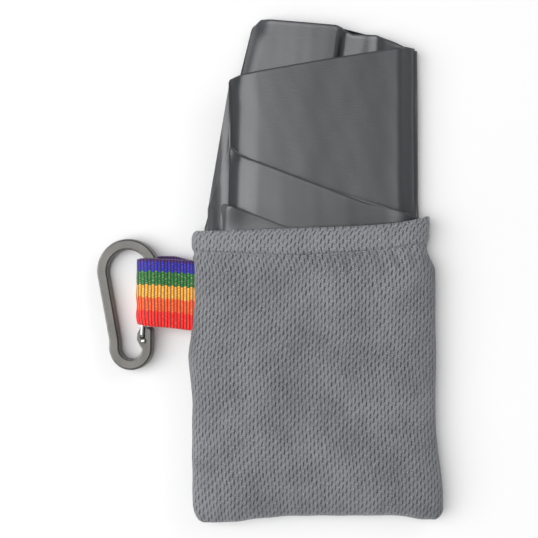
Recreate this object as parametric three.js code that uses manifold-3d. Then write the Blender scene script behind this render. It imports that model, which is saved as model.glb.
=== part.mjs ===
// A folded quick dry towel in its knit mesh pouch, with a webbing loop and a wire gate carabiner.
// Millimetres. It lies flat: +X across the pouch, +Y towards the mouth, +Z up from the table.
import * as THREE from 'three';
import { mergeVertices } from 'three/addons/utils/BufferGeometryUtils.js';
import Module from 'manifold-3d';

// ---- pouch ----
const POUCH_LEFT = -28.4; // x of the left side seam
const POUCH_WIDTH = 88; // seam to seam at the hem
const POUCH_BULGE = 2.7; // how far the filled body stands out past the right seam
const POUCH_BOTTOM = -92.2; // y of the bottom seam at mid width
const CORNER_DROP = 2.6; // how far the bottom corners reach below it
const MOUTH_LEFT = 13.9; // y of the mouth at the left seam
const MOUTH_SLOPE = 2.2; // rise of the mouth across the width
const MOUTH_FLARE = 3.4; // extra rise at the right seam
const HEM_DEPTH = 9;
const MESH_CLOTH = 0.9; // thickness of one layer of mesh
const HEM_CLOTH = 2 * MESH_CLOTH; // the hem is the same cloth turned in
const SEAM_Z = 6.3; // height of the side seams above the table
const SEAM_GAP = 0.8; // room for the seam thread between the two panels
const FRONT_RISE = 7; // height of the filled front panel above the seam
const BACK_RISE = SEAM_Z - SEAM_GAP / 2 - MESH_CLOTH; // the back panel lies flat on the table
const BACK_FLATNESS = 1.35;
const FRONT_PINCH = 0.82; // the hem draws each panel in to this share of its height
const BACK_HEM_GAP = 0.5; // back hem to the table, so that the thread under it stays clear
const BACK_PINCH = (SEAM_Z - SEAM_GAP / 2 - HEM_CLOTH - BACK_HEM_GAP) / BACK_RISE;
const PINCH_LENGTH = 12;
const BOTTOM_ROUNDING = 22; // length over which the panels close towards the bottom seam
const HEM_STEP = 0.6;

// ---- threads ----
const THREAD_RADIUS = 0.15;
const THREAD_CLEARANCE = 0.27;
const STITCH = 3;
const STITCH_SWAY = 0.25;
const SEAM_STITCH = 4;
const SEAM_INSET = 0.7; // thread behind the cloth's edge

// ---- webbing loop ----
const WEBBING_WIDTH = 25.4;
const WEBBING_CLOTH = 1.1;
const WEBBING_Y = MOUTH_LEFT - 24; // middle of the webbing where it leaves the seam
const WEBBING_SKEW = 1.5; // the bight lies this much nearer the mouth
const WEBBING_TUCK = 4; // length caught inside the seam
const WEBBING_SEAM_GAP = 0.3; // between the two legs, and from each leg to its panel

// ---- carabiner, from the wire gate's foot and the middle of the webbing ----
const GATE_REACH = 19; // from the side seam to the gate
const GATE_X = POUCH_LEFT - GATE_REACH;
const GATE_PIVOT_Y = -16;
const CROWN = { x: -5.6, y: 9.4, r: 12 };
const FOOT = { x: -4.5, y: -19.6, r: 8.4 };
const SPINE_BOTTOM = { x: -12.9, y: -16.7 };
const BAR_DEPTH = 4.5; // of the frame, across its flat faces
const BAR_WIDTH = 4.1;
const BAR_BEVEL = 0.7;
const FRAME_TILT = THREE.MathUtils.degToRad(9); // the gate side is held up by the webbing
const SPINE_REACH = CROWN.r - CROWN.x;
const GATE_Z = SPINE_REACH * Math.sin(FRAME_TILT) + (BAR_DEPTH / 2) * Math.cos(FRAME_TILT);
const NOSE_LENGTH = 3.2;
const BOSS_TOP_Y = -11.8;
const BOSS_RIGHT = FOOT.x + FOOT.r;
const WIRE_RADIUS = 0.7;
const WIRE_CLEARANCE = 0.1; // wire to the recessed face of the boss
const BOSS_DEPTH = 2.6; // of the boss between its two recesses
const RECESS_WIDTH = 4.2;
const HOLE_CLEARANCE = 0.35; // wire to hole, which lets both ends turn about the point between them
const HOLE_RADIUS = WIRE_RADIUS + HOLE_CLEARANCE;
const HOLE_DEPTH = 1.1;
const HOLE_OFFSET = 0.6; // of each hole from the pivot: the offset is what springs the gate shut
const WIRE_OFFSET = BOSS_DEPTH / 2 + WIRE_CLEARANCE + WIRE_RADIUS; // of each leg from mid depth
const WIRE_BEND = 1.1;
const NOSE_CLEARANCE = 0.35; // gate to nose

// ---- towel ----
const TOWEL_LEFT = POUCH_LEFT + 5.4;
const TOWEL_RIGHT = POUCH_LEFT + POUCH_WIDTH - 3.2;
const TOWEL_END_Y = POUCH_BOTTOM + 9.2; // of the end deep in the pouch
const TOWEL_CLEARANCE = 0.95; // towel to the pouch, all round, with the hem threads between
const TOWEL_TABLE_GAP = 0.3;
const FOLD_ROUNDING = 1.2;
const MOUTH_CLEARANCE = 0.5; // outer folds to the edge of the mouth
const NECK_OVERLAP = 2;
// Each fold above the mouth: its height above the table, the share of the towel's width that it spans at the
// mouth, and the rest of its outline as a share of the width and a rise above the mouth.
const FOLDS = [
  { top: 6.2, from: -0.013, to: 0.997, outline: [[1, 68.6], [0.882, 72.1], [0.805, 74.3], [0.625, 77.3],
    [0.39, 79.1], [0.295, 80.9], [0.219, 80.5], [0.152, 58.9], [0.025, 13.3]] },
  { top: 8.8, from: 0.101, to: 1, outline: [[1.005, 64.1], [0.98, 69.7], [0.152, 58.9], [0.096, 57.3]] },
  { top: 10.4, from: 0.098, to: 0.919, outline: [[0.8375, 9.4], [0.743, 10.9], [0.436, 20.2], [0.144, 29.1],
    [0.103, 32.2]] },
  { top: 11.6, from: -0.005, to: 0.385, outline: [[0.12, 8.1], [0.001, 12.1]] },
];

const wasm = await Module();
wasm.setup();
const { mapLinear, smoothstep, lerp, clamp } = THREE.MathUtils;

// ---------- solids ----------
function bare(geometry) {
  geometry.deleteAttribute('normal');
  geometry.deleteAttribute('uv');
  return mergeVertices(geometry, 1e-4);
}

function toSolid(geometry) {
  const merged = bare(geometry);
  return new wasm.Manifold(new wasm.Mesh({
    numProp: 3,
    vertProperties: new Float32Array(merged.attributes.position.array),
    triVerts: new Uint32Array(merged.index.array),
  }));
}

function fromSolid(solid) {
  const mesh = solid.getMesh();
  const geometry = new THREE.BufferGeometry();
  geometry.setAttribute('position', new THREE.BufferAttribute(new Float32Array(mesh.vertProperties), 3));
  geometry.setIndex(new THREE.BufferAttribute(new Uint32Array(mesh.triVerts), 1));
  return geometry;
}

// A block of across x along cells, one cell thick, whose points are placed by place(u, v, w), each 0 to 1.
function formedBlock(across, along, place) {
  const geometry = bare(new THREE.BoxGeometry(1, 1, 1, across, along, 1));
  const points = geometry.attributes.position;
  for (let i = 0; i < points.count; i += 1) {
    const spot = place(points.getX(i) + 0.5, points.getY(i) + 0.5, points.getZ(i) + 0.5);
    points.setXYZ(i, spot.x, spot.y, spot.z);
  }
  return geometry;
}

class PointsCurve extends THREE.Curve {
  constructor(place) {
    super();
    this.place = place;
  }

  getPoint(t) {
    return this.place(t);
  }
}

function tubeAlong(place, steps, radius, sides) {
  const section = new THREE.Shape();
  for (let i = 0; i < sides; i += 1) {
    const angle = (2 * Math.PI * i) / sides;
    const x = radius * Math.cos(angle);
    const y = radius * Math.sin(angle);
    if (i === 0) section.moveTo(x, y);
    else section.lineTo(x, y);
  }
  const curve = new PointsCurve(place);
  curve.arcLengthDivisions = steps * 4;
  return new THREE.ExtrudeGeometry(section, { steps, extrudePath: curve, curveSegments: sides });
}

// ---------- pouch panels ----------
function leftEdge(y) {
  const belowLoop = Math.exp(-(((y + 34) / 9) ** 2));
  return POUCH_LEFT - 1.4 * belowLoop;
}

function rightEdge(y) {
  const body = smoothstep(MOUTH_LEFT - HEM_DEPTH + 2 - y, 0, 8);
  const foot = smoothstep(-y, 58, 84);
  return POUCH_LEFT + POUCH_WIDTH + POUCH_BULGE * body + POUCH_BULGE * foot;
}

function mouthY(u) {
  return MOUTH_LEFT + MOUTH_SLOPE * u + MOUTH_FLARE * u ** 8;
}

function bottomY(u) {
  const left = CORNER_DROP * (1 - smoothstep(u, 0.04, 0.45));
  const right = 0.6 * CORNER_DROP * smoothstep(u, 0.8, 0.96);
  return POUCH_BOTTOM - left - right;
}

function widthShare(x) {
  return clamp((x - POUCH_LEFT) / POUCH_WIDTH, 0, 1);
}

function crown(u) {
  return Math.sqrt(Math.max(0, 1 - Math.abs(2 * u - 1) ** 3));
}

function bottomClosing(fromBottom) {
  const share = clamp(fromBottom / BOTTOM_ROUNDING, 0, 1);
  return Math.sqrt(Math.max(0, 1 - (1 - share) ** 2.5));
}

function pinch(u, y, atHem) {
  const belowHem = mouthY(u) - HEM_DEPTH - y;
  return lerp(atHem, 1, smoothstep(belowHem, 0, PINCH_LENGTH));
}

// The two panels part to let the doubled webbing out of the left seam.
function webbingLift(u, y) {
  const needed = WEBBING_SEAM_GAP * 1.5 + WEBBING_CLOTH - SEAM_GAP / 2 + 0.1;
  const away = Math.abs(y - WEBBING_Y - WEBBING_SKEW / 2) - WEBBING_WIDTH / 2;
  return needed * (1 - smoothstep(away, 1, 8)) * (1 - smoothstep(u, 0.05, 0.15));
}

function fill(u, y) {
  return crown(u) * bottomClosing(y - bottomY(u));
}

function frontInner(u, y) {
  return SEAM_Z + SEAM_GAP / 2 + FRONT_RISE * pinch(u, y, FRONT_PINCH) * fill(u, y) + webbingLift(u, y);
}

function backInner(u, y) {
  const flat = Math.min(1, BACK_FLATNESS * fill(u, y));
  return SEAM_Z - SEAM_GAP / 2 - BACK_RISE * pinch(u, y, BACK_PINCH) * flat - webbingLift(u, y) * (1 - flat);
}

const PANEL_ACROSS = 22;
const BODY_ROWS = 18;
const HEM_ROWS = 3;
const HEM_SHARE = BODY_ROWS / (BODY_ROWS + HEM_ROWS);

function panelSpot(u, v) {
  const across = (1 - Math.cos(Math.PI * u)) / 2;
  const hem = mouthY(across) - HEM_DEPTH;
  if (v <= HEM_SHARE + 1e-6) {
    const rise = (v / HEM_SHARE) ** 1.25;
    const y = lerp(bottomY(across), hem, rise);
    return { across, y, cloth: MESH_CLOTH };
  }
  const row = ((v - HEM_SHARE) / (1 - HEM_SHARE)) * HEM_ROWS;
  const y = row < 1.01 ? hem + HEM_STEP : lerp(hem + HEM_STEP, mouthY(across), (row - 1) / (HEM_ROWS - 1));
  return { across, y, cloth: HEM_CLOTH };
}

function panel(inner, side) {
  return formedBlock(PANEL_ACROSS, BODY_ROWS + HEM_ROWS, (u, v, w) => {
    const { across, y, cloth } = panelSpot(u, v);
    const x = lerp(leftEdge(y), rightEdge(y), across);
    const share = side > 0 ? w : 1 - w;
    return { x, y, z: inner(across, y) + side * share * cloth };
  });
}

// ---------- threads ----------
function hemThread(inner, side, outside) {
  const stitches = Math.round(POUCH_WIDTH / STITCH) - 2;
  const lift = outside ? HEM_CLOTH + THREAD_CLEARANCE : -THREAD_CLEARANCE - THREAD_RADIUS;
  return tubeAlong((t) => {
    const u = lerp(0.03, 0.97, t);
    const y = mouthY(u) - HEM_DEPTH + HEM_STEP + 0.5;
    const sway = STITCH_SWAY * Math.sin(2 * Math.PI * stitches * t);
    const x = lerp(leftEdge(y), rightEdge(y), u);
    return new THREE.Vector3(x, y + sway, inner(u, y) + side * lift);
  }, stitches * 3, THREAD_RADIUS, 4);
}

function sideThread(edge, inward) {
  const start = POUCH_BOTTOM + 1;
  const end = MOUTH_LEFT - 1;
  const stitches = Math.round((end - start) / SEAM_STITCH);
  return tubeAlong((t) => {
    const y = lerp(start, end, t);
    const sway = STITCH_SWAY * Math.sin(2 * Math.PI * stitches * t);
    const away = Math.abs(y - WEBBING_Y - WEBBING_SKEW / 2) - WEBBING_WIDTH / 2;
    const detour = inward > 0 ? (WEBBING_TUCK + 0.3) * (1 - smoothstep(away, 1, 4)) : 0;
    return new THREE.Vector3(edge(y) + inward * (SEAM_INSET + detour + sway), y, SEAM_Z);
  }, stitches * 3, THREAD_RADIUS, 4);
}

function bottomThread() {
  const stitches = Math.round(POUCH_WIDTH / SEAM_STITCH);
  return tubeAlong((t) => {
    const u = lerp(0.03, 0.97, t);
    const y = bottomY(u) + SEAM_INSET + STITCH_SWAY * Math.sin(2 * Math.PI * stitches * t);
    return new THREE.Vector3(lerp(leftEdge(y), rightEdge(y), u), y, SEAM_Z);
  }, stitches * 3, THREAD_RADIUS, 4);
}

// ---------- webbing loop: one strip from the seam, round the gate and back ----------
function webbingLoop() {
  const half = WEBBING_CLOTH / 2;
  const legAtSeam = (WEBBING_SEAM_GAP + WEBBING_CLOTH) / 2;
  const turn = WIRE_RADIUS + WEBBING_SEAM_GAP + half;
  const lean = WIRE_OFFSET * Math.sin(FRAME_TILT);
  const rise = WIRE_OFFSET * Math.cos(FRAME_TILT);
  const top = { x: GATE_X - lean, z: GATE_Z + rise };
  const low = { x: GATE_X + lean, z: GATE_Z - rise };
  const bight = Math.min(top.x, low.x) - turn;
  const hook = CROWN.x + CROWN.r;
  const hookX = GATE_X + hook;
  const hookZ = GATE_Z + hook * Math.tan(FRAME_TILT);
  const hookHalf = BAR_DEPTH / 2 / Math.cos(FRAME_TILT) + WEBBING_SEAM_GAP + half;
  const seamX = POUCH_LEFT;
  const route = [
    [seamX + WEBBING_TUCK, SEAM_Z + legAtSeam],
    [seamX, SEAM_Z + legAtSeam],
    [seamX - 5, SEAM_Z + legAtSeam + 1.1],
    [hookX, hookZ + hookHalf + 0.2],
    [top.x + 1.5, top.z + turn + 0.2],
    [top.x, top.z + turn],
    [top.x - 0.7 * turn, top.z + 0.7 * turn],
    [bight, top.z - 0.3],
    [bight, low.z + 0.5],
    [low.x - 0.85 * turn, low.z - 0.55 * turn],
    [low.x, low.z - turn],
    [hookX, hookZ - hookHalf - 0.5],
    [seamX - 5, SEAM_Z - legAtSeam - 0.8],
    [seamX, SEAM_Z - legAtSeam],
    [seamX + WEBBING_TUCK, SEAM_Z - legAtSeam],
  ].map(([x, z]) => new THREE.Vector3(x, 0, z));
  const curve = new THREE.CatmullRomCurve3(route, false, 'centripetal');
  curve.arcLengthDivisions = 400;
  return formedBlock(3, 56, (across, along, through) => {
    const spot = curve.getPointAt(along);
    const heading = curve.getTangentAt(along);
    const out = (through - 0.5) * WEBBING_CLOTH;
    const reach = clamp(mapLinear(spot.x, seamX, bight, 0, 1), 0, 1);
    const y = WEBBING_Y + WEBBING_SKEW * reach + (across - 0.5) * WEBBING_WIDTH;
    return { x: spot.x + heading.z * out, y, z: spot.z - heading.x * out };
  });
}

// ---------- carabiner ----------
function frameOutline() {
  const shape = new THREE.Shape();
  const spineTurn = Math.PI + 0.16;
  const innerCrown = CROWN.r - BAR_WIDTH;
  const innerFoot = FOOT.r - BAR_WIDTH;
  const noseY = CROWN.y - NOSE_LENGTH;
  shape.moveTo(CROWN.x + CROWN.r, noseY);
  shape.lineTo(CROWN.x + CROWN.r, CROWN.y);
  shape.absarc(CROWN.x, CROWN.y, CROWN.r, 0, spineTurn, false);
  shape.lineTo(SPINE_BOTTOM.x, SPINE_BOTTOM.y);
  shape.absarc(FOOT.x, FOOT.y, FOOT.r, Math.PI, 2 * Math.PI, false);
  shape.lineTo(BOSS_RIGHT, BOSS_TOP_Y - 1);
  shape.lineTo(BOSS_RIGHT - 0.8, BOSS_TOP_Y);
  shape.lineTo(-0.8, BOSS_TOP_Y);
  shape.lineTo(-2, GATE_PIVOT_Y + 1.8);
  shape.lineTo(-2.2, GATE_PIVOT_Y - 0.6);
  shape.absarc(FOOT.x, FOOT.y, innerFoot, 2 * Math.PI - 0.1, Math.PI, true);
  shape.lineTo(SPINE_BOTTOM.x + BAR_WIDTH - 0.1, SPINE_BOTTOM.y);
  shape.absarc(CROWN.x, CROWN.y, innerCrown, spineTurn, 0, true);
  shape.lineTo(CROWN.x + innerCrown, noseY);
  shape.closePath();
  return shape;
}

function cutter(width, height, depth, x, y, z) {
  return toSolid(new THREE.BoxGeometry(width, height, depth).translate(x, y, z));
}

function carabinerFrame() {
  const bar = new THREE.ExtrudeGeometry(frameOutline(), {
    depth: BAR_DEPTH - 2 * BAR_BEVEL,
    bevelThickness: BAR_BEVEL,
    bevelSize: BAR_BEVEL,
    bevelOffset: -BAR_BEVEL,
    bevelSegments: 2,
    curveSegments: 18,
  });
  bar.translate(0, 0, BAR_BEVEL - BAR_DEPTH / 2);
  let solid = toSolid(bar);
  for (const side of [1, -1]) {
    const recessDepth = BAR_DEPTH;
    const recessHeight = BOSS_TOP_Y - GATE_PIVOT_Y + 5;
    const recessMiddle = (side * (BOSS_DEPTH + recessDepth)) / 2;
    const recessY = GATE_PIVOT_Y - HOLE_OFFSET - 1.6 + recessHeight / 2;
    solid = solid.subtract(cutter(RECESS_WIDTH, recessHeight, recessDepth, -0.3, recessY, recessMiddle));
    const hole = new THREE.CylinderGeometry(HOLE_RADIUS, HOLE_RADIUS, 2 * HOLE_DEPTH, 20);
    hole.rotateX(Math.PI / 2);
    hole.translate(0, GATE_PIVOT_Y + side * HOLE_OFFSET, (side * BOSS_DEPTH) / 2);
    solid = solid.subtract(toSolid(hole));
  }
  return fromSolid(solid);
}

// One wire: in at the front hole, up, over at the nose, down behind and in at the back hole.
function wireGate() {
  const topX = CROWN.x + CROWN.r - BAR_WIDTH - WIRE_RADIUS - NOSE_CLEARANCE;
  const topY = CROWN.y - WIRE_OFFSET;
  const frontY = GATE_PIVOT_Y + HOLE_OFFSET;
  const backY = GATE_PIVOT_Y - HOLE_OFFSET;
  const inset = BOSS_DEPTH / 2 - HOLE_DEPTH + 0.35;
  const route = new THREE.CurvePath();
  const point = (x, y, z) => new THREE.Vector3(x, y, z);
  const leg = (y, z) => point((topX * (y - GATE_PIVOT_Y)) / (topY - GATE_PIVOT_Y), y, z);
  const corners = [
    [point(0, frontY, inset), point(0, frontY, WIRE_OFFSET - WIRE_BEND)],
    [point(0, frontY, WIRE_OFFSET), leg(frontY + WIRE_BEND, WIRE_OFFSET)],
    [leg(topY, WIRE_OFFSET)],
  ];
  route.add(new THREE.LineCurve3(corners[0][0], corners[0][1]));
  route.add(new THREE.QuadraticBezierCurve3(corners[0][1], corners[1][0], corners[1][1]));
  route.add(new THREE.LineCurve3(corners[1][1], corners[2][0]));
  const overTop = new PointsCurve((t) => {
    const angle = Math.PI / 2 - Math.PI * t;
    return point(topX, topY + WIRE_OFFSET * Math.cos(angle), WIRE_OFFSET * Math.sin(angle));
  });
  route.add(overTop);
  const backLow = leg(backY + WIRE_BEND, -WIRE_OFFSET);
  const backIn = point(0, backY, -WIRE_OFFSET + WIRE_BEND);
  route.add(new THREE.LineCurve3(leg(topY, -WIRE_OFFSET), backLow));
  route.add(new THREE.QuadraticBezierCurve3(backLow, point(0, backY, -WIRE_OFFSET), backIn));
  route.add(new THREE.LineCurve3(backIn, point(0, backY, -inset)));
  return tubeAlong((t) => route.getPointAt(t), 80, WIRE_RADIUS, 8);
}

// ---------- towel ----------
// The cloth is one sheet, folded and rolled flat. Its neck fills the pouch, narrow enough to draw out through
// the hem; above the mouth it is a stack of stepped folds, the rear one the longest.
function towelNeck() {
  return formedBlock(16, 16, (u, v, w) => {
    const across = (1 - Math.cos(Math.PI * u)) / 2;
    const x = lerp(TOWEL_LEFT, TOWEL_RIGHT, across);
    const share = widthShare(x);
    const hem = mouthY(share) - HEM_DEPTH / 2;
    const y = lerp(TOWEL_END_Y, mouthY(share) + NECK_OVERLAP, v);
    const top = frontInner(share, hem) - TOWEL_CLEARANCE;
    const bottom = backInner(share, hem) + TOWEL_CLEARANCE;
    const nearEnd = lerp(0.55, 1, Math.sqrt(clamp(v * 12, 0, 1)));
    const middle = (top + bottom) / 2;
    return { x, y, z: middle + (w - 0.5) * (top - bottom) * nearEnd };
  });
}

function alongMouth(from, to) {
  const steps = 6;
  const points = [];
  for (let i = 0; i <= steps; i += 1) {
    const x = lerp(from, to, i / steps);
    points.push([x, mouthY(widthShare(x)) + MOUTH_CLEARANCE]);
  }
  return points;
}

function foldSlab({ top, from, to, outline }) {
  const across = (share) => lerp(TOWEL_LEFT, TOWEL_RIGHT, share);
  const rim = outline.map(([share, rise]) => [across(share), MOUTH_LEFT + rise]);
  const points = [...alongMouth(across(from), across(to)), ...rim];
  const shape = new THREE.Shape(points.map(([x, y]) => new THREE.Vector2(x, y)));
  const slab = new THREE.ExtrudeGeometry(shape, {
    depth: top - TOWEL_TABLE_GAP - 2 * FOLD_ROUNDING,
    bevelThickness: FOLD_ROUNDING,
    bevelSize: FOLD_ROUNDING,
    bevelOffset: -FOLD_ROUNDING,
    bevelSegments: 2,
  });
  return toSolid(slab.translate(0, 0, TOWEL_TABLE_GAP + FOLD_ROUNDING));
}

function towelCloth() {
  return fromSolid(FOLDS.reduce((cloth, fold) => cloth.add(foldSlab(fold)), toSolid(towelNeck())));
}

// ---------- assembly ----------
const FINISHES = {
  mesh: { color: 0x85878a, roughness: 0.9, metalness: 0 },
  thread: { color: 0x6f7174, roughness: 0.8, metalness: 0 },
  webbing: { color: 0xe08030, roughness: 0.8, metalness: 0 },
  metal: { color: 0x9a9994, roughness: 0.45, metalness: 1 },
  wire: { color: 0xb0b0ae, roughness: 0.3, metalness: 1 },
  cloth: { color: 0x66686b, roughness: 0.5, metalness: 0 },
};

function piece(name, geometry, finish) {
  const mesh = new THREE.Mesh(geometry, new THREE.MeshStandardMaterial(FINISHES[finish]));
  mesh.name = name;
  return mesh;
}

const pouch = new THREE.Group();
pouch.add(
  piece('pouch_front_panel', panel(frontInner, 1), 'mesh'),
  piece('pouch_back_panel', panel(backInner, -1), 'mesh'),
  piece('front_hem_needle_thread', hemThread(frontInner, 1, true), 'thread'),
  piece('front_hem_bobbin_thread', hemThread(frontInner, 1, false), 'thread'),
  piece('back_hem_needle_thread', hemThread(backInner, -1, true), 'thread'),
  piece('back_hem_bobbin_thread', hemThread(backInner, -1, false), 'thread'),
  piece('left_seam_thread', sideThread(leftEdge, 1), 'thread'),
  piece('right_seam_thread', sideThread(rightEdge, -1), 'thread'),
  piece('bottom_seam_thread', bottomThread(), 'thread'),
);

const carabiner = new THREE.Group();
carabiner.position.set(GATE_X, WEBBING_Y, GATE_Z);
carabiner.rotation.y = -FRAME_TILT;
carabiner.add(
  piece('carabiner_frame', carabinerFrame(), 'metal'),
  piece('wire_gate', wireGate(), 'wire'),
);

const object = new THREE.Group();
object.add(pouch, carabiner, piece('webbing_loop', webbingLoop(), 'webbing'));
object.add(piece('towel_cloth', towelCloth(), 'cloth'));

export default object;
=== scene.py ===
import math
from types import SimpleNamespace

import bpy
import numpy as np
from bpy.props import FloatProperty, FloatVectorProperty, IntProperty, PointerProperty
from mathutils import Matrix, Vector


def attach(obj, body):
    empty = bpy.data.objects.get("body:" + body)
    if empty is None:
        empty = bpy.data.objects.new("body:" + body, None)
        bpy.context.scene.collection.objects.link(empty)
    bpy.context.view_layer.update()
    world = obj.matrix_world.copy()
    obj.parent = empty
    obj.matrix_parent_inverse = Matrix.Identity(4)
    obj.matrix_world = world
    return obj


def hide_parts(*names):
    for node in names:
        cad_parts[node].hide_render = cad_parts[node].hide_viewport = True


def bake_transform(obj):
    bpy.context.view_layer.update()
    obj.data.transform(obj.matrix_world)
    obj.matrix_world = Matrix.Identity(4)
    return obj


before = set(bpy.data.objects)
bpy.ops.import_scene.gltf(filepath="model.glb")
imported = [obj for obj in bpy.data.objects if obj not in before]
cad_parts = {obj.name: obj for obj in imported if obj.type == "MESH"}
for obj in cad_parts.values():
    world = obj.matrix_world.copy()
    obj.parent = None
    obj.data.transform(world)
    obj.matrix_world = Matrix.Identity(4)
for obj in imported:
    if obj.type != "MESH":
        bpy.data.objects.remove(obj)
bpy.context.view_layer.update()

bl_info = {
    "name": "Quick dry towel in a mesh pouch",
    "version": (1, 0, 0),
    "blender": (4, 5, 0),
    "location": "3D View > Sidebar > Towel",
    "description": "Builds a folded quick dry towel in a knit mesh pouch with a webbing loop and a carabiner",
    "category": "Object",
}

MM = 0.001

# Sizes in millimetres that more than one piece goes by.
POUCH_LEFT = -28.4      # left side seam, measured from the middle
POUCH_WIDTH = 88.0
SEAM_HEIGHT = 6.3       # side seams above the floor
SEAM_GAP = 0.03         # from a panel's inner face to the plane of the seams
HEM_EXTRA = 0.8         # what the turned hem adds to a panel's thickness
STITCH_GAP = 0.5        # between hem stitches
WEBBING_WIDTH = 25.4

# Where each band of the webbing starts, as a share of its width.
BAND_STARTS = (0.0, 0.03, 0.178, 0.385, 0.575, 0.78)

SMOOTH = {"interpolation_type": "SMOOTHSTEP"}


# ---------------------------------------------------------------- colours, nodes, meshes

def linear(code):
    """A colour written as #rrggbb, as the linear values that Blender works in."""
    parts = [int(code[i:i + 2], 16) / 255 for i in (1, 3, 5)]
    return [c / 12.92 if c <= 0.04045 else ((c + 0.055) / 1.055) ** 2.4 for c in parts] + [1.0]


def add(tree, kind, settings, *values, out=0, **named):
    """Adds one shader node. settings is a dict of its properties, or the name of its operation; "stops" in it
    are a ramp's colours and "blend" the two colours that a mix goes between."""
    node = tree.nodes.new("ShaderNode" + kind)
    settings = {"operation": settings} if isinstance(settings, str) else dict(settings)
    stops, blend = settings.pop("stops", None), settings.pop("blend", ())
    for key, value in settings.items():
        setattr(node, key, value)
    if stops:
        ramp = node.color_ramp
        while len(ramp.elements) < len(stops):
            ramp.elements.new(0.5)
        for element, (place, colour) in zip(ramp.elements, stops):
            element.position = place
            element.color = linear(colour) if isinstance(colour, str) else colour
    for key, value in list(enumerate(values)) + list(enumerate(blend, 6)) + list(named.items()):
        key = key if isinstance(key, int) else key.replace("_", " ")
        if isinstance(value, bpy.types.NodeSocket):
            tree.links.new(value, node.inputs[key])
        else:
            node.inputs[key].default_value = value
    return node.outputs[out]


def material(name, roughness, metallic=0.0, **constants):
    """A material with its shader. The constants are set on the shader's own sockets."""
    made = bpy.data.materials.new(name)
    made.use_nodes = True
    tree = made.node_tree
    shader = tree.nodes["Principled BSDF"]
    shader.inputs["Roughness"].default_value = roughness
    shader.inputs["Metallic"].default_value = metallic
    for key, value in constants.items():
        shader.inputs[key.replace("_", " ")].default_value = value
    return made, tree, shader


def link(tree, socket, shader, name):
    """Leads a socket into the shader's input of that name."""
    tree.links.new(socket, shader.inputs[name])


def mesh_object(name, points, faces, finish, uvs=None, smooth=True):
    """An object in the scene from points in mm, faces, a material and a UV in mm for each point."""
    mesh = bpy.data.meshes.new(name)
    points = np.asarray(points, dtype=float) * MM
    mesh.from_pydata(points.tolist(), [], [tuple(int(i) for i in f) for f in faces])
    mesh.update()
    if uvs is not None:
        layer = mesh.uv_layers.new(name="Cloth")
        corners = np.empty(len(mesh.loops), dtype=np.int64)
        mesh.loops.foreach_get("vertex_index", corners)
        layer.data.foreach_set("uv", np.asarray(uvs, dtype=float)[corners].astype(np.float32).ravel())
    mesh.polygons.foreach_set("use_smooth", [smooth] * len(mesh.polygons))
    mesh.materials.append(finish)
    made = bpy.data.objects.new(name, mesh)
    bpy.context.scene.collection.objects.link(made)
    return made


def grid_faces(rows, columns, closed=False, first=0):
    """Quads over a grid of rows by columns, wrapping round the columns if closed."""
    r, c = np.meshgrid(np.arange(rows - 1), np.arange(columns if closed else columns - 1), indexing="ij")
    nxt = (c + 1) % columns
    return np.stack([r * columns + c, r * columns + nxt, (r + 1) * columns + nxt, (r + 1) * columns + c],
                    axis=-1).reshape(-1, 4) + first


def smoothstep(x, low, high):
    """An even rise from 0 at low to 1 at high."""
    t = np.clip((np.asarray(x, dtype=float) - low) / (high - low), 0, 1)
    return t * t * (3 - 2 * t)


def bump_shape(x, middle, width):
    """A soft hump of height 1 and the given half width."""
    return np.exp(-((np.asarray(x, dtype=float) - middle) / width) ** 2)


def wander(x, y, seed, scale):
    """A smooth wavy field between about -1 and 1, the same on every run."""
    out = np.zeros(np.broadcast(x, y).shape)
    draw = np.random.default_rng(seed)
    for _ in range(7):
        angle, turn = draw.uniform(0, math.tau), draw.uniform(0, math.tau)
        step = scale * draw.uniform(0.55, 1.7)
        out = out + np.sin((x * math.cos(angle) + y * math.sin(angle)) * math.tau / step + turn)
    return out / 4.0


def slab(name, upper, lower, uv, finish):
    """A cloth panel as a closed mesh: an upper and a lower skin over the same grid, with a rounded rim."""
    rows, columns = upper.shape[:2]
    loop = [(0, c) for c in range(columns)] + [(r, columns - 1) for r in range(1, rows)]
    loop += [(rows - 1, c) for c in range(columns - 2, -1, -1)] + [(r, 0) for r in range(rows - 2, 0, -1)]
    points = [upper.reshape(-1, 3), lower.reshape(-1, 3)]
    uvs = [uv.reshape(-1, 2), uv.reshape(-1, 2)]
    rim, rim_uv = [], []
    for r, c in loop:
        inner = upper[min(max(r, 2), rows - 3), min(max(c, 2), columns - 3)]
        out = upper[r, c] - inner
        out[2] = 0
        out /= max(np.linalg.norm(out), 1e-6)
        thick = abs(upper[r, c, 2] - lower[r, c, 2])
        rim.append((upper[r, c] + lower[r, c]) / 2 + out * thick * 0.4)
        rim_uv.append(uv[r, c])
    count = rows * columns
    top = np.array([r * columns + c for r, c in loop])
    low, mid = top + count, np.arange(len(loop)) + 2 * count
    nxt = np.roll(np.arange(len(loop)), -1)
    faces = [grid_faces(rows, columns), grid_faces(rows, columns, first=count)[:, ::-1]]
    faces.append(np.stack([top, mid, mid[nxt], top[nxt]], axis=1))
    faces.append(np.stack([mid, low, low[nxt], mid[nxt]], axis=1))
    return mesh_object(name, np.vstack(points + [np.array(rim)]), np.vstack(faces), finish,
                       np.vstack(uvs + [np.array(rim_uv)]))


# ---------------------------------------------------------------- materials

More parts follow.
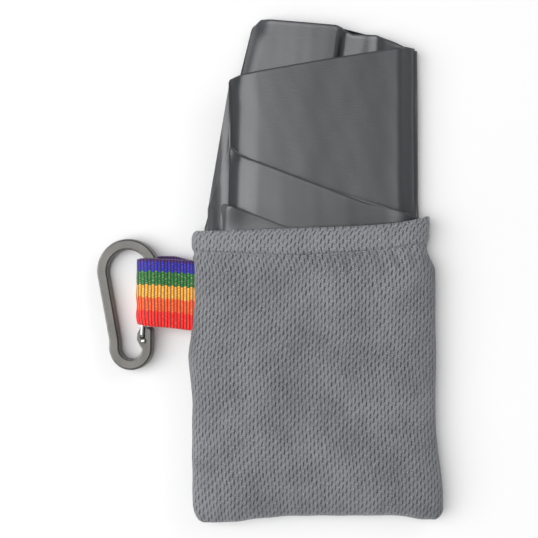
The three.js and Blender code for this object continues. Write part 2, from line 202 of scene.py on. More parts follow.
def knit_mesh_material(p):
    """Polyester warp knit mesh: staggered upright slits are painted near black, partly the dark cloth behind
    them and partly painted shade; the filament yarn between them has painted glints in small spots and a
    painted highlight on its ridges."""
    made, tree, shader = material("Polyester knit mesh", 0.62, Sheen_Weight=0.25, Sheen_Roughness=0.4,
                                  Specular_IOR_Level=0.4)
    uv = add(tree, "UVMap", {"uv_map": "Cloth"})
    sway = add(tree, "TexNoise", {}, Vector=uv, Scale=0.07, Detail=2.0, out="Color")
    sway = add(tree, "VectorMath", "SUBTRACT", sway, (0.5, 0.5, 0.5))
    place = add(tree, "VectorMath", "MULTIPLY_ADD", sway, (2.0, 1.2, 0.0), uv)
    split = add(tree, "SeparateXYZ", {}, place).node
    column = add(tree, "Math", "DIVIDE", split.outputs[0], p.column_pitch)
    column_number = add(tree, "Math", "FLOOR", column)
    odd = add(tree, "Math", "PINGPONG", column_number, 1.0)
    half = add(tree, "Math", "MULTIPLY", odd, 0.5)
    row = add(tree, "Math", "DIVIDE", split.outputs[1], p.row_pitch)
    row = add(tree, "Math", "ADD", row, half)
    cell = add(tree, "CombineXYZ", {}, column_number, add(tree, "Math", "FLOOR", row), 0.0)
    chance = add(tree, "TexWhiteNoise", {}, cell).node
    across = add(tree, "Math", "SUBTRACT", add(tree, "Math", "FRACT", column), 0.5)
    across = add(tree, "Math", "MULTIPLY", across, p.column_pitch)
    along = add(tree, "Math", "SUBTRACT", add(tree, "Math", "FRACT", row), 0.5)
    along = add(tree, "Math", "MULTIPLY", along, p.row_pitch)
    leant = add(tree, "Math", "MULTIPLY_ADD", along, -p.lean, across)
    shift = add(tree, "Math", "MULTIPLY_ADD", chance.outputs["Value"], 0.24, -0.12)
    leant = add(tree, "Math", "ADD", leant, shift)
    shape = add(tree, "CombineXYZ", {}, add(tree, "Math", "DIVIDE", leant, p.slit_width / 2),
                add(tree, "Math", "DIVIDE", along, p.slit_length / 2), 0.0)
    reach = add(tree, "VectorMath", "LENGTH", shape, out="Value")
    slit = add(tree, "MapRange", SMOOTH, reach, 1.5, 0.55, 0.0, 1.0)
    bridge = add(tree, "MapRange", SMOOTH,
                 add(tree, "Math", "ABSOLUTE", along), 0.36, 0.06, 0.0, 0.5)
    slit = add(tree, "Math", "MULTIPLY", slit, add(tree, "Math", "SUBTRACT", 1.0, bridge))
    strength = add(tree, "Math", "MULTIPLY_ADD", chance.outputs["Value"], 0.45, 0.6)
    slit = add(tree, "Math", "MULTIPLY", slit, strength)
    strands = add(tree, "VectorMath", "MULTIPLY", place, (1.0, 0.7, 1.0))
    strand = add(tree, "TexNoise", {}, Vector=strands, Scale=3.6, Detail=3.0, Roughness=0.75, out="Fac")
    # Painted glints: bright spots of the filament yarn, mixed into the colour.
    glint = add(tree, "MapRange", SMOOTH, strand, 0.52, 0.64, 0.0, 1.0)
    # Painted highlight: the yarn ridge between columns of slits is lighter in colour; the same ridge also
    # raises the bump.
    wale_and_highlight = add(tree, "MapRange", SMOOTH,
               add(tree, "Math", "ABSOLUTE", leant), 0.2, p.column_pitch / 2, 0.0, 1.0)
    glint = add(tree, "Math", "MULTIPLY", glint, add(tree, "Math", "MULTIPLY_ADD", wale_and_highlight, 0.5, 0.6))
    patch = add(tree, "TexNoise", {}, Vector=uv, Scale=0.05, Detail=3.0, out="Fac")
    patch = add(tree, "Math", "ADD", patch, add(tree, "Math", "MULTIPLY_ADD", wale_and_highlight, 0.12, -0.05))
    doubled = add(tree, "MapRange", {}, split.outputs[1], 5.0, 8.0, 0.0, 0.25)
    patch = add(tree, "Math", "ADD", patch, doubled)
    patch = add(tree, "Math", "MULTIPLY_ADD", strand, 0.9, add(tree, "Math", "ADD", patch, -0.45))
    yarn = add(tree, "ValToRGB", {"stops": [(0.3, p.yarn_dark), (0.7, p.yarn_light)]}, patch)
    yarn = add(tree, "Mix", {"data_type": "RGBA", "blend": (yarn, p.yarn_painted_glint)}, glint, out=2)
    # Painted shade: the slits take a near-black colour for the dark cloth and the shade behind them.
    cloth = add(tree, "Mix", {"data_type": "RGBA", "blend": (yarn, p.slit_painted_shade)}, slit, out=2)
    link(tree, cloth, shader, "Base Color")
    height = add(tree, "Math", "MULTIPLY_ADD", slit, -1.0, add(tree, "Math", "MULTIPLY", strand, 0.8))
    height = add(tree, "Math", "MULTIPLY_ADD", wale_and_highlight, 0.08, height)
    link(tree, add(tree, "Bump", {}, Strength=0.8, Distance=0.00035, Height=height), shader, "Normal")
    return made


def thread_material(name, shade, light):
    """Spun polyester sewing thread: two twisted plies with a dull gloss."""
    made, tree, shader = material(name, 0.55, Sheen_Weight=0.3)
    place = add(tree, "TexCoord", {}, out="Object")
    twist = add(tree, "TexWave", {"bands_direction": "DIAGONAL"}, Vector=place, Scale=700.0, Distortion=1.0)
    link(tree, add(tree, "ValToRGB", {"stops": [(0.1, shade), (0.9, light)]}, twist), shader, "Base Color")
    link(tree, add(tree, "Bump", {}, Strength=0.4, Distance=0.00008, Height=twist), shader, "Normal")
    return made


def webbing_material(p):
    """Grosgrain webbing in dyed polyester: five bands of colour with a dark edge, and flecks between the ribs
    that are contrasting warp ends in the blue and painted glints in the other bands. The ribs carry painted
    shade in their furrows and a painted highlight on their floats."""
    made, tree, shader = material("Striped grosgrain webbing", 0.6, Sheen_Weight=0.3, Specular_IOR_Level=0.35)
    uv = add(tree, "UVMap", {"uv_map": "Cloth"})
    split = add(tree, "SeparateXYZ", {}, uv).node
    rib = add(tree, "Math", "DIVIDE", split.outputs[0], p.rib_pitch)
    odd = add(tree, "Math", "PINGPONG", add(tree, "Math", "FLOOR", rib), 1.0)
    float_row = add(tree, "Math", "DIVIDE", split.outputs[1], p.float_pitch)
    float_row = add(tree, "Math", "MULTIPLY_ADD", odd, 0.5, float_row)
    float_number = add(tree, "Math", "FLOOR", float_row)
    middle = add(tree, "Math", "ADD", float_number, 0.5)
    middle = add(tree, "Math", "MULTIPLY_ADD", odd, -0.5, middle)
    ragged = add(tree, "TexNoise", {}, Vector=uv, Scale=0.8, Detail=2.0, out="Fac")
    middle = add(tree, "Math", "ADD", middle, add(tree, "Math", "MULTIPLY_ADD", ragged, 0.8, -0.4))
    share = add(tree, "Math", "DIVIDE", middle, WEBBING_WIDTH / p.float_pitch)
    dyes = (p.edge, p.blue, p.green, p.yellow, p.orange, p.red)
    bands = add(tree, "ValToRGB", {"stops": list(zip(BAND_STARTS, dyes))}, share)
    bands.node.color_ramp.interpolation = "CONSTANT"
    ends = add(tree, "VectorMath", "MULTIPLY", uv, (0.85, 2.4, 1.0))
    fleck = add(tree, "TexNoise", {}, Vector=ends, Scale=1.0, Detail=2.0, Roughness=0.6, out="Fac")
    fleck = add(tree, "MapRange", SMOOTH, fleck, 0.5, 0.62, 0.0, p.fleck)
    # Fleck colours: a contrasting magenta warp in the blue, painted glints of lighter band colour in the
    # other bands.
    warp_ends_and_glints = ("#5a2a80", "#8a3a9c", "#9fb27a", "#ffe0a0", "#ff9a70", "#ff6a5c")
    flecks = add(tree, "ValToRGB", {"stops": list(zip(BAND_STARTS, warp_ends_and_glints))}, share)
    flecks.node.color_ramp.interpolation = "CONSTANT"
    dyed = add(tree, "Mix", {"data_type": "RGBA", "blend": (bands, flecks)}, fleck, out=2)
    over = add(tree, "Math", "SINE", add(tree, "Math", "MULTIPLY", add(tree, "Math", "FRACT", rib), math.pi))
    along = add(tree, "Math", "MULTIPLY", add(tree, "Math", "FRACT", float_row), math.pi)
    along = add(tree, "Math", "MULTIPLY_ADD", add(tree, "Math", "SINE", along), 0.5, 0.5)
    hump = add(tree, "Math", "MULTIPLY", over, along)
    # Painted shade in the furrows between ribs and a painted highlight on the floats, scaling the dyed
    # colour.
    rib_shade_and_highlight = add(tree, "MapRange", SMOOTH, hump, 0.15, 0.9, 0.25, 1.45)
    shaded = add(tree, "VectorMath", "SCALE", dyed, Scale=rib_shade_and_highlight)
    link(tree, shaded, shader, "Base Color")
    height = add(tree, "Math", "MULTIPLY_ADD", fleck, 0.3, hump)
    link(tree, add(tree, "Bump", {}, Strength=0.8, Distance=0.0002, Height=height), shader, "Normal")
    return made


def alloy_material(p):
    """Flat aluminium alloy bar, bent, bead blasted and anodised: a matt grey face with fine grain, and a
    highlight painted on the rounded edges."""
    made, tree, shader = material("Blasted anodised aluminium", 0.36, metallic=1.0)
    place = add(tree, "TexCoord", {}, out="Object")
    cloud = add(tree, "TexNoise", {}, Vector=place, Scale=120.0, Detail=4.0, out="Fac")
    grain = add(tree, "TexNoise", {}, Vector=place, Scale=3200.0, Detail=2.0, out="Fac")
    cloud = add(tree, "Math", "MULTIPLY_ADD", grain, 0.9, add(tree, "Math", "ADD", cloud, -0.45))
    face = add(tree, "ValToRGB", {"stops": [(0.3, p.alloy_dark), (0.7, p.alloy_light)]}, cloud)
    # Painted highlight: where the normal is tilted, on the rounded edges between the flat face and the
    # upright sides, the colour turns lighter, broken up by the grain.
    upright = add(tree, "SeparateXYZ", {}, add(tree, "TexCoord", {}, out="Normal"), out="Z")
    upright = add(tree, "Math", "ABSOLUTE", upright)
    edge_highlight = add(tree, "MapRange", {}, upright, 0.25, 0.5, 0.0, 1.0)
    edge_highlight = add(tree, "Math", "MULTIPLY", edge_highlight, add(tree, "MapRange", {}, upright, 0.97, 0.88, 0.0, 1.0))
    edge_highlight = add(tree, "Math", "MULTIPLY", edge_highlight, add(tree, "MapRange", {}, grain, 0.35, 0.6, 0.1, 0.4))
    face = add(tree, "Mix", {"data_type": "RGBA", "blend": (face, p.alloy_worn)}, edge_highlight, out=2)
    link(tree, face, shader, "Base Color")
    link(tree, add(tree, "MapRange", {}, grain, 0.3, 0.7, 0.3, 0.42), shader, "Roughness")
    link(tree, add(tree, "Bump", {}, Strength=0.12, Distance=0.00006, Height=grain), shader, "Normal")
    return made


def wire_material(p):
    """Drawn stainless spring wire: smooth and bright, with faint lines along its length."""
    made, tree, shader = material("Drawn stainless wire", 0.22, metallic=1.0)
    place = add(tree, "TexCoord", {}, out="Object")
    drawn = add(tree, "VectorMath", "MULTIPLY", place, (1.0, 0.05, 1.0))
    lines = add(tree, "TexNoise", {}, Vector=drawn, Scale=5000.0, Detail=2.0, out="Fac")
    steel = add(tree, "ValToRGB", {"stops": [(0.3, "#c4c4c2"), (0.7, "#e4e4e2")]}, lines)
    link(tree, steel, shader, "Base Color")
    link(tree, add(tree, "MapRange", {}, lines, 0.3, 0.7, 0.17, 0.3), shader, "Roughness")
    return made


def towel_material(p):
    """Brushed microfibre cloth with a silky face: broad soft highlights, faint ribs across the cloth and
    slight streaks along it."""
    made, tree, shader = material("Silky microfibre cloth", 0.36, Sheen_Weight=0.12, Sheen_Roughness=0.3,
                                  Specular_IOR_Level=1.0, Coat_Weight=0.3, Coat_Roughness=0.4)
    uv = add(tree, "UVMap", {"uv_map": "Cloth"})
    long_grain = add(tree, "VectorMath", "MULTIPLY", uv, (0.55, 0.05, 1.0))
    streak = add(tree, "TexNoise", {}, Vector=long_grain, Scale=1.0, Detail=3.0, Roughness=0.55, out="Fac")
    weave = add(tree, "TexNoise", {}, Vector=uv, Scale=3.0, Detail=2.0, Roughness=0.7, out="Fac")
    streak = add(tree, "Math", "MULTIPLY_ADD", streak, 0.8, -0.3)
    streak = add(tree, "Math", "MULTIPLY_ADD", weave, 0.8, streak)
    cloth = add(tree, "ValToRGB", {"stops": [(0.2, p.cloth_dark), (0.8, p.cloth_light)]}, streak)
    link(tree, cloth, shader, "Base Color")
    wide = add(tree, "VectorMath", "MULTIPLY", uv, (0.12, 1.0, 1.0))
    rib = add(tree, "TexNoise", {}, Vector=wide, Scale=2.2, Detail=2.0, Roughness=0.6, out="Fac")
    pile = add(tree, "TexNoise", {}, Vector=uv, Scale=6.0, Detail=2.0, out="Fac")
    height = add(tree, "Math", "MULTIPLY_ADD", rib, 1.0, add(tree, "Math", "MULTIPLY", pile, 0.25))
    link(tree, add(tree, "MapRange", {}, pile, 0.3, 0.7, 0.33, 0.42), shader, "Roughness")
    link(tree, add(tree, "Bump", {}, Strength=0.22, Distance=0.00025, Height=height), shader, "Normal")
    return made


def floor_material(p):
    """Matt white laminate sheet: even, with the slightest mottling."""
    made, tree, shader = material("Matt white laminate", 0.7)
    place = add(tree, "TexCoord", {}, out="Object")
    mottle = add(tree, "TexNoise", {}, Vector=place, Scale=6.0, Detail=2.0, out="Fac")
    sheet = add(tree, "ValToRGB", {"stops": [(0.3, p.floor_low), (0.7, p.floor_high)]}, mottle)
    link(tree, sheet, shader, "Base Color")
    return made


# ---------------------------------------------------------------- sizes and colours

def length(label, about, size):
    """A size property, given here in millimetres."""
    return FloatProperty(name=label, description=about, default=size * MM, unit="LENGTH", precision=5)


def colour(label, about, code):
    """A colour property, given here as #rrggbb."""
    return FloatVectorProperty(name=label, description=about, default=linear(code), size=4, min=0, max=1,
                               subtype="COLOR")


def power(label, about, watts):
    """A light's power."""
    return FloatProperty(name=label, description=about, default=watts, unit="POWER")


def in_mm(group):
    """The group's values by name, lengths in millimetres."""
    values = {}
    for prop in group.bl_rna.properties:
        if prop.identifier in ("rna_type", "name"):
            continue
        value = getattr(group, prop.identifier)
        if prop.type == "FLOAT" and prop.array_length == 0 and prop.unit == "LENGTH":
            value = value / MM
        elif prop.type == "FLOAT" and prop.array_length:
            value = tuple(value)
        values[prop.identifier] = value
    return SimpleNamespace(**values)


class TOWEL_PG_pouch(bpy.types.PropertyGroup):
    left: length("Left edge", "Left side seam, measured from the middle", POUCH_LEFT)
    width: length("Width", "Across the mouth", POUCH_WIDTH)
    bulge: length("Bulge", "How far the right side swells below the hem", 2.7)
    bottom: length("Bottom", "Bottom seam, measured from the middle", -92.2)
    mouth: length("Mouth", "Left end of the mouth, measured from the middle", 13.9)
    slope: length("Slope", "Rise of the mouth from left to right", 2.2)
    flare: length("Flare", "Extra rise at the right end of the mouth", 3.4)
    cloth: length("Mesh", "Thickness of the knit mesh", 0.9)
    seam_height: length("Seam height", "Height of the side seams above the floor", SEAM_HEIGHT)
    front_rise: length("Front rise", "How far the front swells above the seam", 7.4)
    back_drop: length("Back drop", "How far the back swells below the seam", 5.35)
    column_pitch: length("Column pitch", "Between columns of slits", 1.39)
    row_pitch: length("Row pitch", "Between slits in a column", 2.94)
    slit_width: length("Slit width", "Across one slit", 0.5)
    slit_length: length("Slit length", "Along one slit", 1.65)
    lean: FloatProperty(name="Lean", description="Sideways lean of a slit for its length", default=0.19)
    stitch: length("Stitch", "Length of one hem stitch", 2.3)
    yarn_dark: colour("Yarn dark", "Darker patches of the knit yarn", "#64666b")
    yarn_light: colour("Yarn light", "Lighter patches of the knit yarn", "#808287")
    # A painted glint colour for small bright spots on the yarn.
    yarn_painted_glint: colour("Yarn glint", "Bright spots of the filament yarn", "#c2c4c8")
    # The slit colour is painted shade over the dark cloth behind the slits.
    slit_painted_shade: colour("Slit", "What shows through a slit", "#1d1e20")
    thread_dark: colour("Thread dark", "Shaded side of the sewing thread", "#76787b")
    thread_light: colour("Thread light", "Lit side of the sewing thread", "#9fa1a4")


class TOWEL_PG_webbing(bpy.types.PropertyGroup):
    seam_end: length("Seam end", "Where the ends sit in the seam", -26.2)
    bight: length("Bight", "Middle of the turn at the far end", -45.5)
    bight_height: length("Bight height", "Height of the middle of the turn", 5.3)
    bight_radius: length("Bight radius", "Middle of the webbing round the turn", 3.95)
    seam_height: length("Seam height", "Height of the side seam above the floor", SEAM_HEIGHT)
    width: length("Width", "Across the webbing", WEBBING_WIDTH)
    thickness: length("Thickness", "Of the webbing", 1.1)
    middle: length("Middle", "Middle of the webbing at the seam", -10.15)
    skew: length("Skew", "How much nearer the mouth the turn lies", 1.6)
    rib_pitch: length("Rib pitch", "Between ribs", 1.2)
    rib_height: length("Rib height", "Of a rib", 0.17)
    float_pitch: length("Float pitch", "Between warp floats along a rib", 0.95)
    # The flecks are contrasting warp ends in the blue and painted glints in the other bands.
    fleck: FloatProperty(name="Flecks", description="Strength of the contrasting warp ends", default=0.5)
    edge: colour("Edge", "Thin edge by the blue", "#4a2468")
    blue: colour("Blue", "First band", "#1b2fa6")
    green: colour("Green", "Second band", "#157030")
    yellow: colour("Yellow", "Third band", "#f0a12c")
    orange: colour("Orange", "Fourth band", "#f8561f")
    red: colour("Red", "Fifth band", "#fa201e")


class TOWEL_PG_carabiner(bpy.types.PropertyGroup):
    bevel: length("Edge round", "Rounding of the frame's edges", 0.3)
    peen_x: length("Wire end across", "Middle of the spread end of the wire", -47.3)
    peen_y: length("Wire end along", "Middle of the spread end of the wire", -27.0)
    peen_z: length("Wire end height", "Face of the frame at the spread end of the wire", 7.25)
    alloy_dark: colour("Alloy dark", "Darker patches of the frame", "#4c4b48")
    alloy_light: colour("Alloy light", "Lighter patches of the frame", "#585755")
    # A painted highlight on the frame's rounded edges, lighter than the face.
    alloy_worn: colour("Alloy worn", "Rubbed edges of the frame", "#d2d0cc")


class TOWEL_PG_towel(bpy.types.PropertyGroup):
    end: length("Inner end", "Lower end of the towel inside the pouch", -82.5)
    flat_width: length("Flat width", "Of the towel laid out", 400.0)
    flat_length: length("Flat length", "Of the towel laid out", 800.0)
    rows: IntProperty(name="Rows", description="Steps along the towel", default=124)
    cloth_dark: colour("Cloth dark", "Darker streaks", "#23252a")
    cloth_light: colour("Cloth light", "Lighter streaks", "#2a2d32")


class TOWEL_PG_stage(bpy.types.PropertyGroup):
    frame_side: length("Frame side", "Width of what the camera takes in", 201.75)
    lens: FloatProperty(name="Lens", description="Focal length of the camera", default=85.0, unit="CAMERA")
    broad: power("Broad light", "Large soft light overhead to the left", 71.0)
    narrow: power("Narrow light", "Narrow soft light inside the broad one", 2.5)
    glint: power("Glint light", "Soft light from the upper right", 8.0)
    sky: FloatProperty(name="Surround", description="Strength of the pale surround", default=0.3)
    floor_low: colour("Floor low", "Darker mottling", "#f8f8f8")
    floor_high: colour("Floor high", "Lighter mottling", "#fafafa")


# ---------------------------------------------------------------- the pouch

def pouch_outline(p, u, v):
    """x and y of a point of a panel: u runs from the left seam, v from the bottom seam to the mouth."""
    mouth = p.mouth + p.slope * u + p.flare * u ** 8
    bottom = p.bottom - 2.6 * (1 - smoothstep(u, 0.04, 0.45)) - 1.56 * smoothstep(u, 0.8, 0.96)
    bottom = bottom + 0.25 * wander(u * POUCH_WIDTH, 0 * u, 5, 16)
    y = bottom + v * (mouth - bottom)
    left = p.left - 1.4 * bump_shape(y, -34, 9) + 0.3 * wander(0 * y, y, 3, 22)
    left = left + 2.0 * (1 - np.sqrt(1 - np.clip((y - p.mouth + 2.4) / 2.6, 0, 1) ** 2))
    left = left + 0.8 * bump_shape(y, 6.2, 1.3)
    left = left + 4.2 * (1 - np.sqrt(1 - np.clip((-87.5 - y) / 7.4, 0, 1) ** 2))
    right = p.left + p.width + p.bulge * (smoothstep(6.9 - y, 0, 8) + smoothstep(-y, 58, 84))
    right = right + 0.25 * wander(0 * y, y, 4, 18) - 0.5 * bump_shape(y, 7.6, 1.6)
    right = right - 3.2 * (1 - np.sqrt(1 - np.clip((-89.6 - y) / 4.3, 0, 1) ** 2))
    return left + u * (right - left), y, mouth, bottom


def stitch_line(u):
    """Height of the hem stitches up the panel, across the mouth."""
    return np.interp(u, [0, 0.25, 0.45, 0.67, 0.86, 1.0], [6.3, 5.4, 4.9, 6.0, 7.6, 9.7])


def swell(p, u, y, mouth, bottom):
    """How full the pouch is at a point, from 0 at the seams to 1."""
    crown = np.sqrt(np.clip(1 - np.abs(2 * u - 1) ** 3, 0, 1))
    closing = np.sqrt(np.clip(1 - (1 - np.clip((y - bottom) / 22, 0, 1)) ** 2.5, 0, 1))
    return crown * closing, 1 - smoothstep(mouth - y, 12, 0)


def front_heights(p, u, v):
    """Points on the outer and the inner face of the front panel."""
    x, y, mouth, bottom = pouch_outline(p, u, v)
    full, away = swell(p, u, y, mouth, bottom)
    inner = p.seam_height + SEAM_GAP + p.front_rise * full * (0.82 + 0.18 * away)
    line = stitch_line(u)
    hem = smoothstep(y - line, -1.2, 0.9)
    puckers = np.sin((x * 0.8 + y * 0.55) * math.tau / 5.2 + wander(x, y, 11, 20) * 2.2)
    puckers = puckers * bump_shape(y, line - 4.5, 5.0) * (0.07 + 0.17 * smoothstep(u, 0.45, 0.95))
    seam = np.minimum(u, 1 - u) * p.width
    gather = np.sin(y * math.tau / 6.3 + wander(x, y, 12, 30) * 2.5) * np.exp(-seam / 3.5) * 0.3
    low = np.sin(x * math.tau / 7.5 + wander(x, y, 13, 25) * 2.5) * np.exp(-(y - bottom) / 4.5) * 0.35
    rest = 0.34 * wander(x, y * 0.45, 14, 24) + 0.12 * wander(x, y, 15, 8)
    folds = rest * np.clip(full * 1.3, 0, 1) + puckers + gather * (1 - hem) + low
    inner = inner + folds * np.clip(seam, 0, 1)
    inner = inner - 0.45 * bump_shape(y, line - 1.5, 1.9) * np.clip(seam / 3, 0, 1)
    thick = p.cloth + HEM_EXTRA * hem
    outer_crease = 0.4 * bump_shape(x, -25.6 + (y - 10) * 0.45, 0.8) * smoothstep(y, 5.5, 8)
    ripple = 1 + 0.3 * np.sin(x * math.tau / (p.stitch + STITCH_GAP))
    outer = inner + thick - 0.62 * bump_shape(y, line, 0.62) * ripple
    outer = outer - 0.5 * smoothstep(mouth - y, 0.7, 0.0) * hem - outer_crease
    return np.stack([x, y, outer], axis=-1), np.stack([x, y, inner], axis=-1)


def back_heights(p, u, v):
    """Points on the inner and the outer face of the back panel."""
    x, y, mouth, bottom = pouch_outline(p, u, v)
    full, away = swell(p, u, y, mouth, bottom)
    hem = smoothstep(y, mouth - 9.6, mouth - 8.4)
    flat = np.minimum(1, 1.35 * full)
    inner = p.seam_height - SEAM_GAP - (p.back_drop - 0.1) * flat * (0.72 + 0.28 * away)
    outer = inner - np.minimum(p.cloth + HEM_EXTRA * hem, np.maximum(inner - 0.05, 0.6))
    return np.stack([x, y - 0.3, inner], axis=-1), np.stack([x, y - 0.3, outer], axis=-1)


def panel_grid(columns, rows):
    """Shares across and up a panel, closer together at the seams, the hem and the mouth."""
    across = np.linspace(0, 1, columns)
    across = across - 0.085 * np.sin(across * math.tau) / 2
    up = np.linspace(0, 1, rows)
    up = up - 0.09 * np.sin(up * math.tau) / 2
    return np.meshgrid(across, up)


def panel_uv(points):
    """Knit pattern place in mm, following the cloth round the swell."""
    x, y, z = points[..., 0], points[..., 1], points[..., 2]
    rows = np.sqrt(np.diff(x, axis=1) ** 2 + np.diff(z, axis=1) ** 2)
    across = np.concatenate([np.zeros((x.shape[0], 1)), np.cumsum(rows, axis=1)], axis=1)
    across = across - across[:, across.shape[1] // 2][:, None]
    return np.stack([across, y], axis=-1)


def build_panels(p):
    """Both panels, each as one closed cloth with its hem."""
    finish = knit_mesh_material(p)
    u, v = panel_grid(150, 190)
    outer, inner = front_heights(p, u, v)
    front = slab("pouch_front_cloth", outer, inner, panel_uv(outer), finish)
    u, v = panel_grid(70, 90)
    inner, outer = back_heights(p, u, v)
    back = slab("pouch_back_cloth", inner, outer, panel_uv(outer), finish)
    for panel, node, below in ((front, "pouch_front_panel", ["towel_folded_cloth"]),
                               (back, "pouch_back_panel", [])):
        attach(panel, "pouch")
        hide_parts(node)


def build_stitches(p):
    """The outer row of the front hem: one lockstitch after another, each dipping into the cloth."""
    finish = thread_material("Polyester thread, hem", p.thread_dark, p.thread_light)
    count = int(p.width / (p.stitch + STITCH_GAP))
    points, faces = [], []
    for i in range(count):
        ends = (np.array([0.0, 0.17, 0.5, 0.83, 1.0]) * p.stitch / (p.stitch + STITCH_GAP) + i + 0.1) / count
        u = np.clip(ends, 0.008, 0.992)
        v = np.full(5, 0.9)
        for _ in range(4):
            _, y, mouth, bottom = pouch_outline(p, u, v)
            v = v + (stitch_line(u) - y) / (mouth - bottom)
        outer, _ = front_heights(p, u, v)
        centre = outer + np.array([0, 0, 1]) * (np.array([-0.12, 0.1, 0.17, 0.1, -0.12])[:, None])
        radius = np.array([0.06, 0.16, 0.19, 0.16, 0.06])
        first = len(points)
        for k in range(5):
            for a in range(8):
                turn = a * math.tau / 8
                round_it = np.array([0.1 * math.cos(turn), math.cos(turn), math.sin(turn)])
                points.append(centre[k] + radius[k] * round_it)
        faces += grid_faces(5, 8, closed=True, first=first).tolist()
        faces += [list(range(first + 7, first - 1, -1)), list(range(first + 32, first + 40))]
    made = mesh_object("front_hem_stitches", points, faces, finish)
    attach(made, "pouch")
    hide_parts("front_hem_needle_thread")


def paint_threads(p):
    """The sewn-in threads keep their CAD shape and get the thread's finish."""
    finish = thread_material("Polyester thread, seams", p.thread_dark, p.thread_light)
    for node in ("front_hem_bobbin_thread", "back_hem_needle_thread", "back_hem_bobbin_thread",
                 "left_seam_thread", "right_seam_thread", "bottom_seam_thread"):
        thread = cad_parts[node]
        thread.data.materials.clear()
        thread.data.materials.append(finish)


# ---------------------------------------------------------------- webbing, carabiner

def webbing_path(p, steps):
    """Even steps along the folded webbing in x and z: out on top, round the turn, back underneath."""
    share = np.linspace(0, 1, 90)
    x = p.seam_end + (p.bight - p.seam_end) * share
    top = p.bight_height + p.bight_radius
    low = p.bight_height - p.bight_radius
    leave, apart = p.seam_height, 0.62
    over = leave + apart + (top - leave - apart) * smoothstep(share, 0.02, 0.9)
    under = leave - apart + (low - leave + apart) * smoothstep(share, 0.02, 0.9)
    turn = np.linspace(math.pi / 2, 3 * math.pi / 2, 60)[1:-1]
    arc = np.stack([p.bight + p.bight_radius * np.cos(turn),
                    p.bight_height + p.bight_radius * np.sin(turn)], 1)
    line = np.vstack([np.stack([x, over], 1), arc, np.stack([x, under], 1)[::-1]])
    gone = np.concatenate([[0], np.cumsum(np.linalg.norm(np.diff(line, axis=0), axis=1))])
    at = np.linspace(0, gone[-1], steps)
    return np.stack([np.interp(at, gone, line[:, 0]), np.interp(at, gone, line[:, 1])], 1), at


def build_webbing(p):
    """The strip as a closed cloth with raised ribs."""
    finish = webbing_material(p)
    line, at = webbing_path(p, 480)
    ahead = np.gradient(line, axis=0)
    ahead = ahead / np.linalg.norm(ahead, axis=1)[:, None]
    out = np.stack([ahead[:, 1], -ahead[:, 0]], 1)
    inside_loop = np.array([-38.0, 5.3])
    out = out * np.sign((out * (line - inside_loop)).sum(1))[:, None]
    across = np.linspace(0, 1, 30)
    s, w = at[:, None], across[None, :]
    total = at[-1]
    away = np.sin(math.pi * np.clip(s / total, 0, 1)) ** 1.2
    rear = smoothstep(s, total * 0.55, total * 0.75) * (1 - smoothstep(s, total * 0.8, total * 0.98))
    middle = p.middle + p.skew * away + 1.25 * rear
    width = p.width - 0.9 * away
    y = middle + width * (0.5 - w) + 0.12 * wander(s, 0 * s, 21, 7) * (2 * w - 1)
    slant = s + 1.3 * (w - 0.5) * bump_shape(s, total / 2, 8)
    rib = np.abs(np.sin(math.pi * slant / p.rib_pitch)) ** 0.7 - 0.5
    roll = -0.35 * (2 * w - 1) ** 6 + 0.18 * wander(s, w * 25, 22, 18)
    cloth = p.thickness / 2
    face = cloth + p.rib_height * rib
    turned = bump_shape(s, total / 2, 9)
    skins = []
    for side in (1, -1):
        shift = roll + side * face
        x = line[:, 0][:, None] + out[:, 0][:, None] * shift + 0.28 * wander(w * 25, 0 * s, 23, 9) * turned
        z = line[:, 1][:, None] + out[:, 1][:, None] * shift
        skins.append(np.stack([x, y + 0 * x, np.maximum(z, 0.05)], axis=-1))
    uv = np.stack([slant + 0 * w, WEBBING_WIDTH * w + 0 * s], axis=-1)
    made = slab("webbing_loop_cloth", skins[0], skins[1], uv, finish)
    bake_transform(made)
    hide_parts("webbing_loop")


def build_peened_end(p, finish):
    """The end of the wire, spread into a low dome where it comes out of the frame's face."""
    shape = [(0.02, 0.50), (0.42, 0.46), (0.72, 0.32), (0.88, 0.14), (0.84, 0.0), (0.6, -0.1), (0.56, -0.35)]
    tilt, sides = math.radians(9), 28
    points = []
    for radius, height in shape:
        for k in range(sides):
            turn = k * math.tau / sides
            x, y = radius * math.cos(turn), radius * math.sin(turn)
            points.append((p.peen_x + x * math.cos(tilt) - height * math.sin(tilt), p.peen_y + y,
                           p.peen_z + x * math.sin(tilt) + height * math.cos(tilt)))
    faces = grid_faces(len(shape), sides, closed=True).tolist() + [list(range(sides - 1, -1, -1))]
    made = mesh_object("wire_gate_peened_end", points, faces, finish)
    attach(made, "carabiner")


def build_metal(p):
    """The frame and the wire keep their CAD shape; the frame's edges are rounded over."""
    for node, finish, slot in (("carabiner_frame", alloy_material(p), "satin_alloy"),
                               ("wire_gate", wire_material(p), "spring_wire")):
        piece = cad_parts[node]
        piece.data.materials.clear()
        piece.data.materials.append(finish)
        if node == "carabiner_frame":
            ease = piece.modifiers.new("Edge round", "BEVEL")
            ease.width = p.bevel * MM
            ease.segments = 2
            ease.limit_method = "ANGLE"
            ease.angle_limit = math.radians(32)
            ease.harden_normals = False
        if node == "wire_gate":
            build_peened_end(p, finish)


# ---------------------------------------------------------------- the towel

